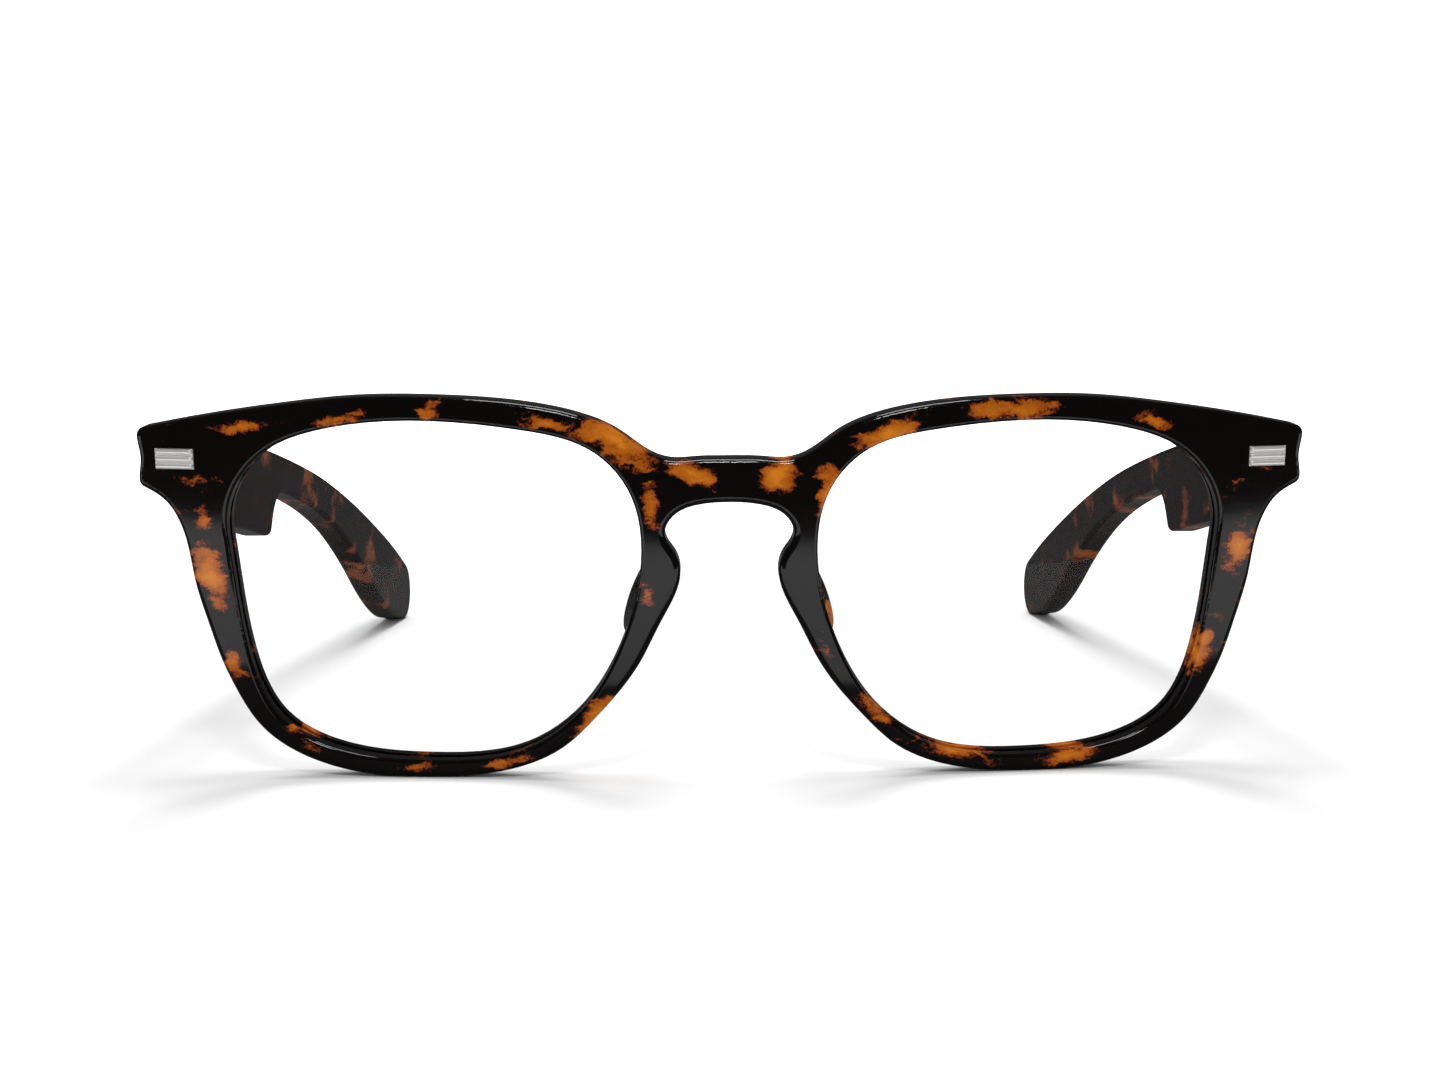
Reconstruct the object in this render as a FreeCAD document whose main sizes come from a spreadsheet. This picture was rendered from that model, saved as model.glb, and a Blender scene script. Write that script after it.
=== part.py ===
"""Reading glasses with folding temples: a keyhole-bridge acetate front, two lenses and two stepped temples.

The glasses stand open on a table, on the two rim bottoms and the two temple tips.
X runs along the front, +Y from the front to the temple tips and +Z up, in millimetres.
The front is drawn upright and then leaned forward by front_lean. Hinges and temples are drawn in
a hinge frame: its origin is the middle of the hinge barrel, Z is the hinge axis, Y runs along the
temple and +X points outward. Everything is drawn for the +X side and mirrored to the -X side.
The origin of the finished glasses is the middle of the footprint, on the table.
"""

import FreeCAD
import Part
import math
import os

from FreeCAD import Placement, Rotation, Vector

PARTS_FOLDER = "parts"

# alias, value in millimetres or degrees, what it is
SIZES = [
    ("lens_width", 49.8, "width of a lens opening"),
    ("lens_height", 41.9, "height of a lens opening"),
    ("bridge_gap", 21.2, "shortest distance between the two lens openings"),
    ("rim_side", 4.4, "width of the rim beside the lens"),
    ("rim_top", 2.9, "width of the rim above the lens"),
    ("rim_bottom", 2.2, "width of the rim below the lens"),
    ("end_reach", 10.6, "from the lens opening to the outer end of the front"),
    ("end_height", 7.5, "height of the end piece"),
    ("end_drop", 7.8, "from the top of the rim down to the end piece's middle"),
    ("end_waist", 0.3, "how far the end piece's side curves in"),
    ("corner_round", 1.1, "corner radius of the end piece"),
    ("bridge_drop", 7.25, "from the top of the rim down to the bridge's top edge"),
    ("bridge_height", 5.3, "height of the bridge above the keyhole"),
    ("keyhole_width", 3.1, "how much wider the keyhole is than the nose gap below it"),
    ("front_thickness", 4.2, "thickness of the acetate front"),
    ("front_curve", 420.0, "radius of the front's face-form curve"),
    ("front_lean", 5.3, "forward lean of the front, degrees"),
    ("front_round", 0.75, "rounding of the front's outer edges"),
    ("opening_round", 0.45, "rounding of the lens opening's edges"),
    ("block_width", 9.3, "width of the raised seat for the hinge behind the end piece"),
    ("block_slope", 1.9, "width of the slope beside that seat"),
    ("block_inset", 0.5, "how far the raised seat stays inside the front's outline"),
    ("block_round", 0.6, "rounding of the raised seat's outer edges"),
    ("lens_front_radius", 130.0, "radius of the lens's front surface"),
    ("lens_back_radius", 190.0, "radius of the lens's back surface"),
    ("lens_thickness", 2.2, "lens thickness at its centre"),
    ("tongue_radius", 150.0, "radius of the lens's edge tongue"),
    ("tongue_thickness", 0.8, "thickness of the lens's edge tongue"),
    ("tongue_depth", 0.5, "how far the tongue reaches into the rim"),
    ("lens_gap", 0.04, "clearance between lens and rim"),
    ("plaque_width", 4.7, "width of the metal plaque"),
    ("plaque_height", 2.45, "height of the metal plaque"),
    ("plaque_plate", 0.5, "thickness of the plaque's plate"),
    ("plaque_proud", 0.15, "how far the plate stands out of the front"),
    ("plaque_bar", 0.36, "radius of the plaque's raised bars"),
    ("plaque_inset", 4.7, "from the front's outer end to the plaque's middle"),
    ("rivet_radius", 0.5, "radius of the rivets"),
    ("rivet_spacing", 2.4, "distance between the plaque's two rivets"),
    ("rivet_length", 3.0, "length of the plaque's rivets"),
    ("seat_gap", 0.04, "clearance of metal pieces set in acetate"),
    ("hinge_inset", 5.8, "from the front's outer end in to the hinge axis"),
    ("hinge_back", 3.9, "from the front's back face to the hinge axis"),
    ("hinge_drop", 0.2, "from the end piece's middle down to the hinge's middle"),
    ("barrel_radius", 1.25, "outer radius of the hinge barrels"),
    ("barrel_height", 1.0, "height of one hinge barrel"),
    ("barrel_gap", 0.06, "gap between neighbouring barrels"),
    ("shank_radius", 0.6, "radius of the hinge screw's shank"),
    ("shank_gap", 0.04, "radial clearance of the screw in the barrels"),
    ("head_radius", 1.1, "radius of the hinge screw's head"),
    ("head_height", 0.6, "height of the hinge screw's head"),
    ("slot_width", 0.3, "width of the screwdriver slot"),
    ("slot_depth", 0.3, "depth of the screwdriver slot"),
    ("leaf_thickness", 0.8, "thickness of the hinge leaves"),
    ("leaf_proud", 0.3, "how far the leaves stand out of the acetate"),
    ("front_leaf_width", 3.9, "width of the front leaf's plate"),
    ("front_leaf_reach", 0.7, "from the hinge axis outward to the front leaf's end"),
    ("temple_leaf_start", 2.2, "from the hinge axis back to the temple leaf's plate"),
    ("temple_leaf_length", 9.0, "length of the temple leaf's plate"),
    ("temple_rivet_inset", 1.8, "from the temple leaf's ends to its rivets"),
    ("temple_rivet_depth", 1.7, "how deep the temple leaf's rivets go"),
    ("temple_rivet_head", 0.75, "radius of the temple rivets' heads"),
    ("temple_rivet_dome", 0.2, "height of the temple rivets' heads"),
    ("butt_depth", 1.85, "from the hinge axis forward to the front's hinge seat"),
    ("butt_gap", 0.12, "gap between the open temple and the front"),
    ("temple_offset", 1.6, "from the hinge axis out to the temple's inner face"),
    ("temple_thickness", 4.1, "thickness of the temple"),
    ("temple_toe", 2.3, "angle the temples run inward, degrees"),
    ("temple_rise", 3.75, "from the hinge's middle up to the temple's top edge"),
    ("temple_foot", 4.6, "from the hinge's middle down to the temple's lower edge at the hinge"),
    ("temple_length", 130.2, "from the hinge axis to the middle of the tip's round end"),
    ("deep_length", 35.0, "length of the deep front section behind the hinge"),
    ("deep_foot", 8.5, "from the hinge's middle down to the deep section's lower edge"),
    ("arm_height", 5.5, "height of the arm just behind the deep section"),
    ("tip_drop", 14.75, "how far the middle of the tip's round end lies below the hinge"),
    ("tip_radius", 5.5, "radius of the tip's round end"),
    ("temple_round", 0.7, "rounding of the temple's edges"),
    ("core_start", 14.0, "from the hinge axis to the front end of the core strip"),
    ("core_height", 1.8, "height of the temple's core strip"),
    ("core_thickness", 1.0, "thickness of the temple's core strip"),
    ("pad_length", 13.0, "height of a nose pad where it meets the rim"),
    ("pad_width", 3.4, "width of a nose pad where it meets the rim"),
    ("pad_depth", 5.0, "how far a nose pad stands back from the rim"),
    ("pad_splay", 2.0, "how far a nose pad leans outward over its depth"),
    ("pad_tilt", 20.0, "slant of a nose pad along the rim, degrees"),
    ("pad_round", 0.6, "rounding of a nose pad's back edge"),
]

# outline of a lens opening in fractions of its half width and half height, counter-clockwise
OPENING = [
    (1.0, 0.32), (0.958, 0.595), (0.80, 0.812), (0.52, 0.945), (0.02, 1.0), (-0.44, 0.951),
    (-0.775, 0.83), (-0.945, 0.60), (-1.0, 0.24), (-0.895, -0.30), (-0.69, -0.70),
    (-0.42, -0.925), (0.05, -1.0), (0.50, -0.943), (0.78, -0.765), (0.93, -0.353),
]

# top edge of the front: across as a fraction of the lens half width, and drop from the top
BROW = [(-0.90, 4.1), (-0.71, 2.05), (-0.52, 1.0), (-0.30, 0.35), (0.03, 0.0), (0.36, 0.15),
        (0.72, 1.15), (1.01, 2.25)]

# lower edge of the rim in fractions of the lens half sizes plus the rim, from outside to nose
RIM = [(1.03, 0.27), (1.0, 0.035), (0.956, -0.178), (0.908, -0.377), (0.843, -0.564),
       (0.758, -0.733), (0.628, -0.863), (0.481, -0.941), (0.30, -0.990), (0.06, -1.0),
       (-0.15, -0.985), (-0.34, -0.936), (-0.52, -0.826), (-0.645, -0.677), (-0.754, -0.520),
       (-0.846, -0.351), (-0.925, -0.152)]

# the keyhole's side: across in fractions of half the extra keyhole width, and drop below the arch
KEYHOLE = [(-0.1, 7.4), (0.26, 6.1), (0.75, 5.0), (1.0, 3.75), (0.74, 2.45), (0.1, 1.35)]


# ---------------------------------------------------------------- sizes and small helpers

class Sizes:
    """The values of the sheet as attributes, and a few positions that follow from them."""

    def __init__(self, sheet):
        for alias, _, _ in SIZES:
            setattr(self, alias, float(sheet.get(alias)))
        self.half_lens = self.lens_width / 2
        self.half_height = self.lens_height / 2
        self.lens_x = self.bridge_gap / 2 + self.half_lens
        self.lens_z = self.rim_bottom + self.half_height
        self.half_front = self.bridge_gap / 2 + self.lens_width + self.end_reach
        self.top = self.rim_bottom + self.lens_height + self.rim_top
        self.bridge_top = self.top - self.bridge_drop
        self.arch = self.bridge_top - self.bridge_height
        self.end_z = self.top - self.end_drop
        self.hinge_x = self.half_front - self.hinge_inset
        self.stack = 5 * self.barrel_height + 4 * self.barrel_gap
        self.arm_foot = self.temple_rise - self.arm_height

    def front_y(self, x):
        """Depth of the upright front's face at x."""
        return self.front_curve - math.sqrt(self.front_curve ** 2 - x ** 2)

    def back_y(self, x):
        """Depth of the upright front's back face at x."""
        inner = self.front_curve - self.front_thickness
        return self.front_curve - math.sqrt(inner ** 2 - x ** 2)


def spline(points, start, end):
    """Curve through points that leaves along start and arrives along end."""
    curve = Part.BSplineCurve()
    curve.interpolate(Points=points, InitialTangent=start, FinalTangent=end, Scale=False)
    return curve.toShape()


def arc(centre, radius, first, last, make):
    """Arc about centre from angle first to angle last in degrees; make turns (a, b) into a point."""
    points = []
    for angle in (first, (first + last) / 2, last):
        turn = math.radians(angle)
        points.append(make(centre[0] + radius * math.cos(turn), centre[1] + radius * math.sin(turn)))
    return Part.Arc(*points).toShape()


def xz(x, z):
    """Point in the plane of the front."""
    return Vector(x, 0, z)


def yz(y, z):
    """Point in the side plane of a temple."""
    return Vector(0, y, z)


def mirrored(shape):
    """The same shape on the other side of X = 0."""
    return shape.mirror(Vector(0, 0, 0), Vector(1, 0, 0))


def face_of(edges):
    """Flat face inside a closed ring of edges."""
    return Part.Face(Part.Wire(Part.__sortEdges__(edges)))


def block(x, y, z):
    """Box between the limits given as pairs for each axis."""
    return Part.makeBox(x[1] - x[0], y[1] - y[0], z[1] - z[0], Vector(x[0], y[0], z[0]))


def rod(radius, start, end):
    """Cylinder from start to end."""
    return Part.makeCylinder(radius, (end - start).Length, start, end - start)


# ---------------------------------------------------------------- outlines of the front

def opening_wire(s, grow=0.0):
    """Lens opening of the +X side, made larger all round by grow."""
    wide = s.half_lens + grow
    high = s.half_height + grow
    curve = Part.BSplineCurve()
    points = [xz(s.lens_x + a * wide, s.lens_z + b * high) for a, b in OPENING]
    curve.interpolate(Points=points, PeriodicFlag=True)
    return Part.Wire([curve.toShape()])


def brow_edges(s):
    """Top edge of the front from the bridge's middle to the side of the end piece."""
    slope = 12.0
    radius = s.corner_round
    centre = (s.half_front - radius, s.end_z + s.end_height / 2 - radius)
    edge_x = s.bridge_gap / 2
    points = [xz(0, s.bridge_top), xz(edge_x * 0.36, s.bridge_top - 0.06),
              xz(edge_x * 0.66, s.bridge_top - 0.18), xz(edge_x * 0.84, s.bridge_top + 0.35)]
    points += [xz(s.lens_x + a * s.half_lens, s.top - drop) for a, drop in BROW]
    turn = math.radians(90 - slope)
    points.append(xz(centre[0] + radius * math.cos(turn), centre[1] + radius * math.sin(turn)))
    leave = xz(math.sin(turn), -math.cos(turn))
    return [spline(points, xz(1, 0), leave), arc(centre, radius, 90 - slope, 0, xz)]


def side_edges(s):
    """Side of the end piece with its lower corner."""
    radius = s.corner_round
    upper = s.end_z + s.end_height / 2 - radius
    lower = s.end_z - s.end_height / 2 + radius
    points = [xz(s.half_front, upper), xz(s.half_front - s.end_waist, s.end_z), xz(s.half_front, lower)]
    side = spline(points, xz(0, -1), xz(0, -1))
    return [side, arc((s.half_front - radius, lower), radius, 0, -63, xz)]


def under_edges(s):
    """Lower edge of the front from the end piece round the rim to the middle of the keyhole."""
    radius = s.corner_round
    base = s.end_z - s.end_height / 2
    turn = math.radians(-63)
    points = [xz(s.half_front - radius + radius * math.cos(turn), base + radius + radius * math.sin(turn)),
              xz(s.half_front - 3.0, base - 1.4), xz(s.half_front - 4.4, base - 3.4)]
    wide = s.half_lens + s.rim_side
    high = s.half_height + s.rim_bottom
    points += [xz(s.lens_x + a * wide, s.lens_z + b * high) for a, b in RIM]
    nose = s.lens_x - wide
    points += [xz(nose + a * s.keyhole_width / 2, s.arch - drop) for a, drop in KEYHOLE]
    points += [xz(nose * 0.55, s.arch - 0.25), xz(0, s.arch)]
    return [spline(points, xz(math.sin(turn), -math.cos(turn)), xz(-1, 0))]


def front_face(s):
    """Outline of the front with its two lens openings."""
    half = brow_edges(s) + side_edges(s) + under_edges(s)
    outline = face_of(half + [mirrored(edge) for edge in half])
    hole = Part.Face(opening_wire(s))
    return outline.cut(Part.makeCompound([hole, mirrored(hole)]))


def deep(face, s):
    """Prism over a face of the front's plane, deep enough for the whole front."""
    lower = face.copy()
    lower.translate(Vector(0, -5, 0))
    return lower.extrude(Vector(0, 30 + s.front_thickness, 0))


def drum(s, depth):
    """Cylinder whose near side is the front's face, moved back by depth."""
    axis = Vector(0, s.front_curve, -10)
    return Part.makeCylinder(s.front_curve - depth, s.top + 20, axis, Vector(0, 0, 1))


# ---------------------------------------------------------------- lenses

def lens_spheres(s, radius, depth):
    """Ball whose near side passes depth behind the middle of the +X rim's thickness."""
    yaw = math.asin(s.lens_x / s.front_curve)
    back = Vector(-math.sin(yaw), math.cos(yaw), 0)
    sag = s.half_height ** 2 / (2 * s.tongue_radius)
    vertex = Vector(s.lens_x, s.front_y(s.lens_x), s.lens_z) + back * (s.front_thickness / 2 - sag)
    return Part.makeSphere(radius, vertex + back * (depth + radius))


def tongue(s, grow):
    """Edge tongue of the +X lens, or its groove when grow is the clearance."""
    half = s.tongue_thickness / 2 + grow
    prism = deep(Part.Face(opening_wire(s, s.tongue_depth + grow)), s)
    outer = lens_spheres(s, s.tongue_radius + half, -half)
    inner = lens_spheres(s, s.tongue_radius - half, half)
    return prism.common(outer).cut(inner)


def lens(s):
    """Lens of the +X side in the upright front."""
    half = s.lens_thickness / 2
    prism = deep(Part.Face(opening_wire(s, -s.lens_gap)), s)
    front = lens_spheres(s, s.lens_front_radius, -half)
    back = lens_spheres(s, s.lens_back_radius, half)
    return prism.common(front).cut(back).fuse(tongue(s, 0.0)).removeSplitter()


# ---------------------------------------------------------------- front

def plaque_frame(s):
    """Frame on the upright front's face under the plaque; its Y points into the acetate."""
    x = s.half_front - s.plaque_inset
    yaw = math.degrees(math.asin(x / s.front_curve))
    return Placement(Vector(x, s.front_y(x), s.end_z), Rotation(Vector(0, 0, 1), yaw))


def plaque_seat(s):
    """Room for the plaque's plate and rivets in the acetate, in the plaque frame."""
    gap = s.seat_gap
    depth = s.plaque_plate - s.plaque_proud
    wide = s.plaque_width / 2 + gap
    high = s.plaque_height / 2 + gap
    room = block((-wide, wide), (-1, depth), (-high, high))
    for side in (-1, 1):
        start = Vector(side * s.rivet_spacing / 2, 0, 0)
        end = start + Vector(0, depth + s.rivet_length + gap, 0)
        room = room.fuse(rod(s.rivet_radius + gap, start, end))
    room.Placement = plaque_frame(s)
    return room


def rounded_front(s):
    """Curved acetate sheet with the front's outline and rounded edges, upright."""
    sheet = deep(front_face(s), s).common(drum(s, 0)).cut(drum(s, s.front_thickness))
    hole = opening_wire(s)
    holes = Part.makeCompound([hole, mirrored(hole)])
    outer = []
    inner = []
    for edge in sheet.Edges:
        middle = edge.valueAt((edge.FirstParameter + edge.LastParameter) / 2)
        if abs(edge.tangentAt(edge.FirstParameter).y) > 0.9:
            continue
        distance = holes.distToShape(Part.Vertex(middle.x, 0, middle.z))[0]
        (inner if distance < 0.05 else outer).append(edge)
    return sheet.makeFillet(s.front_round, outer).makeFillet(
        s.opening_round, matching(sheet.makeFillet(s.front_round, outer), inner))


def matching(shape, edges):
    """Edges of shape that lie where the given edges lie."""
    found = []
    for edge in shape.Edges:
        middle = edge.valueAt((edge.FirstParameter + edge.LastParameter) / 2)
        if any(other.distToShape(Part.Vertex(middle))[0] < 0.01 for other in edges):
            found.append(edge)
    return found


def hinge_block(s):
    """Thicker acetate behind the +X end piece that carries the hinge seat, upright."""
    inner = s.half_front - s.block_width
    outer = s.half_front - s.block_inset
    foot = inner - s.block_slope
    flat = s.back_y(s.half_front) + 4
    corners = [(foot, s.back_y(foot) - 1.5), (foot, s.back_y(foot) - 0.2), (inner, flat), (outer, flat),
               (outer, s.back_y(outer) - 2.5)]
    base = s.end_z - s.end_height / 2 + s.block_inset
    ring = Part.makePolygon([Vector(x, y, base) for x, y in corners + corners[:1]])
    prism = Part.Face(ring).extrude(Vector(0, 0, s.end_height - 2 * s.block_inset))
    outside = [edge for edge in prism.Edges if edge.BoundBox.XMin > outer - 0.01 and edge.BoundBox.ZLength < 0.01]
    return prism.makeFillet(s.block_round, outside)


# ---------------------------------------------------------------- placing

def lean(s):
    """Placement of the upright front before it is set on the table."""
    return Placement(Vector(0, 0, 0), Rotation(Vector(1, 0, 0), s.front_lean))


def hinge_frame(s, rise):
    """Hinge frame of the +X side, for a leaned front lifted by rise.

    The temple's slope is worked out so that the round tip just touches the table.
    """
    height = s.end_z - s.hinge_drop
    middle = lean(s).multVec(Vector(s.hinge_x, s.back_y(s.hinge_x), height))
    pivot = Vector(s.hinge_x, middle.y + s.hinge_back, middle.z + rise)
    toe = math.radians(s.temple_toe)
    outer = s.temple_offset + s.temple_thickness - s.temple_round
    along = s.temple_length * math.cos(toe) + outer * math.sin(toe)
    reach = math.hypot(along, s.tip_drop)
    slope = math.asin((pivot.z - s.tip_radius) / reach) - math.atan2(s.tip_drop, along)
    turn = Rotation(Vector(1, 0, 0), -math.degrees(slope)).multiply(Rotation(Vector(0, 0, 1), s.temple_toe))
    return Placement(pivot, turn)


# ---------------------------------------------------------------- hinge and temple, hinge frame

def front_leaf_seat(s):
    """Pocket for the front leaf's plate in the hinge seat, and all the room behind the seat."""
    gap = s.seat_gap
    reach = s.front_leaf_reach
    high = s.stack / 2 + gap
    sunk = s.butt_depth + s.leaf_thickness - s.leaf_proud
    pocket = block((reach - s.front_leaf_width - gap, reach + gap), (-sunk - gap, 0), (-high, high))
    behind = block((-7, 9), (-s.butt_depth, 9), (-5, 7))
    return pocket.fuse(behind)


def temple_outline(s):
    """Side view of a temple."""
    butt = s.butt_gap - s.butt_depth
    length = s.temple_length
    step = s.deep_length
    arm = s.arm_foot
    drop = s.tip_drop
    rise = s.temple_rise
    centre = (length, -drop)
    above = math.radians(74)
    below = math.radians(-96)
    tip_top = yz(length + s.tip_radius * math.cos(above), s.tip_radius * math.sin(above) - drop)
    tip_foot = yz(length + s.tip_radius * math.cos(below), s.tip_radius * math.sin(below) - drop)
    arm_run = length - step
    top = [yz(butt, rise), yz(step * 0.5, rise + 0.1), yz(step, rise + 0.1)]
    for along, down in ((0.182, 0.025), (0.305, 0.064), (0.439, 0.137), (0.586, 0.246), (0.744, 0.39),
                        (0.924, 0.587)):
        top.append(yz(step + arm_run * along, rise - (rise + drop) * down))
    top.append(tip_top)
    foot = [yz(step, -s.deep_foot), yz(step * 0.8, -s.deep_foot + 0.3),
            yz(step * 0.45, -s.deep_foot * 0.8 - s.temple_foot * 0.2), yz(butt, -s.temple_foot)]
    tail = [yz(step + 4.9, arm - 1.6), yz(step + 7.3, arm - 0.35), yz(step + 12, arm - 0.05)]
    for along, down in ((0.244, 0.047), (0.335, 0.104), (0.476, 0.252), (0.556, 0.377), (0.651, 0.556),
                        (0.74, 0.745), (0.83, 0.897), (0.922, 0.985)):
        tail.append(yz(step + arm_run * along, arm + (tip_foot.z - arm) * down))
    tail.append(tip_foot)
    heel = (step + 1.0, 1.6 - s.deep_foot)
    heel_end = yz(heel[0] + 1.6 * math.cos(math.radians(-22)), heel[1] + 1.6 * math.sin(math.radians(-22)))
    heel_start = yz(heel[0], heel[1] - 1.6)
    foot[0] = heel_start
    return [
        spline(top, yz(1, 0.0), yz(math.sin(above), -math.cos(above))),
        arc(centre, s.tip_radius, 74, -96, yz),
        spline([heel_end] + tail, yz(0.375, 0.927), yz(-math.sin(below), math.cos(below))),
        arc(heel, 1.6, -22, -90, yz),
        spline(foot, yz(-1, 0), yz(-1, 0.12)),
        Part.makeLine(yz(butt, -s.temple_foot), yz(butt, rise)),
    ]


def temple_blank(s):
    """Acetate temple with rounded edges, without its seats."""
    face = face_of(temple_outline(s))
    face.translate(Vector(s.temple_offset, 0, 0))
    solid = face.extrude(Vector(s.temple_thickness, 0, 0))
    butt = s.butt_gap - s.butt_depth
    rounded = []
    for edge in solid.Edges:
        box = edge.BoundBox
        if box.XLength < 0.01 and box.YMax > butt + 0.1:
            rounded.append(edge)
    return solid.makeFillet(s.temple_round, rounded)


def core_strip(s, grow):
    """Metal core strip inside the temple, or its room when grow is the clearance."""
    step = s.deep_length
    length = s.temple_length
    middle = (s.temple_rise + s.arm_foot) / 2
    half = s.core_height / 2 + grow
    path = [(s.core_start - grow, middle), (step, middle)]
    for along, down in ((0.13, 0.0), (0.30, 0.09), (0.46, 0.24), (0.62, 0.47), (0.78, 0.74)):
        path.append((step + (length - step) * along, middle - (s.tip_drop + middle) * down))
    path.append((length - s.tip_radius - 4 + grow, middle - (s.tip_drop + middle) * 0.9))
    upper = [yz(y, z + half) for y, z in path]
    lower = [yz(y, z - half) for y, z in path]
    ahead = yz(1, 0)
    down = yz(1, -0.3)
    ring = [spline(upper, ahead, down), spline(lower, ahead, down),
            Part.makeLine(upper[0], lower[0]), Part.makeLine(upper[-1], lower[-1])]
    face = face_of(ring)
    start = s.temple_offset + (s.temple_thickness - s.core_thickness) / 2 - grow
    face.translate(Vector(start, 0, 0))
    return face.extrude(Vector(s.core_thickness + 2 * grow, 0, 0))


def temple_seats(s):
    """Room for the temple leaf, its rivets and the core strip."""
    gap = s.seat_gap
    start = s.temple_leaf_start - gap
    end = s.temple_leaf_start + s.temple_leaf_length + gap
    sunk = s.leaf_thickness - s.leaf_proud + gap
    high = s.stack / 2 + gap
    face = s.temple_offset
    room = block((face - 1, face + sunk), (start, end), (-high, high))
    for y in temple_rivet_positions(s):
        tip = face + sunk + s.temple_rivet_depth
        room = room.fuse(rod(s.rivet_radius + gap, Vector(face, y, 0), Vector(tip, y, 0)))
    return Part.makeCompound([room, core_strip(s, gap)])


def temple_rivet_positions(s):
    """Distances of the temple leaf's two rivets behind the hinge axis."""
    start = s.temple_leaf_start + s.temple_rivet_inset
    return (start, s.temple_leaf_start + s.temple_leaf_length - s.temple_rivet_inset)


# ---------------------------------------------------------------- nose pads

def pad_ring(s, along, centre_x, centre_z, y):
    """Slanted oval of a nose pad; along runs from 0 at the rim to 1 at the rounded back."""
    end = max(0.0, along - 0.8) / 0.2
    rounding = s.pad_round * (1 - math.sqrt(1 - end ** 2))
    major = s.pad_length / 2 * (1 - 0.22 * along) - rounding
    minor = s.pad_width / 2 * (1 - 0.25 * along) - rounding
    ring = Part.Wire([Part.Ellipse(Vector(0, 0, 0), major, minor).toShape()])
    turn = Rotation(Vector(1, 0, 0), 90).multiply(Rotation(Vector(0, 0, 1), 90 + s.pad_tilt))
    ring.Placement = Placement(Vector(centre_x + s.pad_splay * along ** 1.5, y, centre_z), turn)
    return ring


def nose_pad(s):
    """Nose pad of the +X side behind the rim, in the upright front."""
    nose = s.lens_x - s.half_lens - s.rim_side
    centre_x = nose + s.pad_width / 2 + 1.5
    centre_z = s.arch - s.pad_length
    back = s.back_y(centre_x)
    rings = []
    for along in (-0.2, 0.0, 0.25, 0.5, 0.8, 0.9, 0.97, 1.0):
        rings.append(pad_ring(s, max(along, 0.0), centre_x, centre_z, back + s.pad_depth * along))
    return Part.makeLoft(rings, True).common(drum(s, s.front_thickness))


# ---------------------------------------------------------------- document objects

class Builder:
    """Makes the document's objects, bound to the sheet, and keeps the finished pieces."""

    def __init__(self, doc):
        self.doc = doc
        self.pieces = []

    def bind(self, kind, name, **expressions):
        """New object of a kind with properties bound to expressions; _ in a name stands for a dot."""
        made = self.doc.addObject(kind, name)
        for key, text in expressions.items():
            made.setExpression(key.replace("_", "."), text)
        return made

    def box(self, name, low, size):
        """Box with its low corner and its size given as expressions."""
        return self.bind("Part::Box", name, Length=size[0], Width=size[1], Height=size[2],
                         Placement_Base_x=low[0], Placement_Base_y=low[1], Placement_Base_z=low[2])

    def cylinder(self, name, radius, height, base, turn=None):
        """Cylinder along Z, or turned by a rotation, with expressions for its sizes and base."""
        made = self.doc.addObject("Part::Cylinder", name)
        made.Placement = Placement(Vector(0, 0, 0), turn or Rotation())
        for key, text in zip(("Radius", "Height"), (radius, height)):
            made.setExpression(key, text)
        for key, text in zip("xyz", base):
            made.setExpression("Placement.Base." + key, text)
        return made

    def fuse(self, name, members):
        """Union of objects."""
        made = self.doc.addObject("Part::MultiFuse", name)
        made.Shapes = members
        return made

    def cut(self, name, base, tool):
        """Base object without the tool object."""
        made = self.doc.addObject("Part::Cut", name)
        made.Base = base
        made.Tool = tool
        return made

    def group(self, name, members):
        """Several equal solids kept as one piece."""
        made = self.doc.addObject("Part::Compound", name)
        made.Links = members
        return made

    def shape(self, name, shape):
        """Object for a shape worked out from the sheet's values."""
        made = self.doc.addObject("Part::Feature", name)
        made.Shape = shape
        return made

    def finish(self, made, label, placement):
        """Place a finished piece and note it."""
        made.Label = label
        made.Placement = placement
        self.pieces.append(made)
        return made

    def pair(self, made, label, placement):
        """Finish the +X piece and add its mirror image."""
        right = self.finish(made, label + "_right", placement)
        left = self.doc.addObject("Part::Mirroring", made.Name + "Mirror")
        left.Source = right
        left.Normal = Vector(1, 0, 0)
        left.Label = label + "_left"
        self.pieces.append(left)


def barrel(build, name, level, neck_low, neck_size):
    """One hinge barrel with its neck; level counts from 0 at the bottom."""
    base = f"{level} * (Sizes.barrel_height + Sizes.barrel_gap) - Sizes.barrel_height * 2.5"
    base += " - Sizes.barrel_gap * 2"
    round_part = build.cylinder(name + "Round", "Sizes.barrel_radius", "Sizes.barrel_height",
                                ("0", "0", base))
    neck = build.box(name + "Neck", (neck_low[0], neck_low[1], base),
                     (neck_size[0], neck_size[1], "Sizes.barrel_height"))
    return [round_part, neck]


STACK = "(Sizes.barrel_height * 5 + Sizes.barrel_gap * 4)"


def bore(build, name):
    """Hole for the screw's shank through all barrels."""
    return build.cylinder(name, "Sizes.shank_radius + Sizes.shank_gap", STACK + " + 2",
                          ("0", "0", "-" + STACK + " / 2 - 1"))


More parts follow.
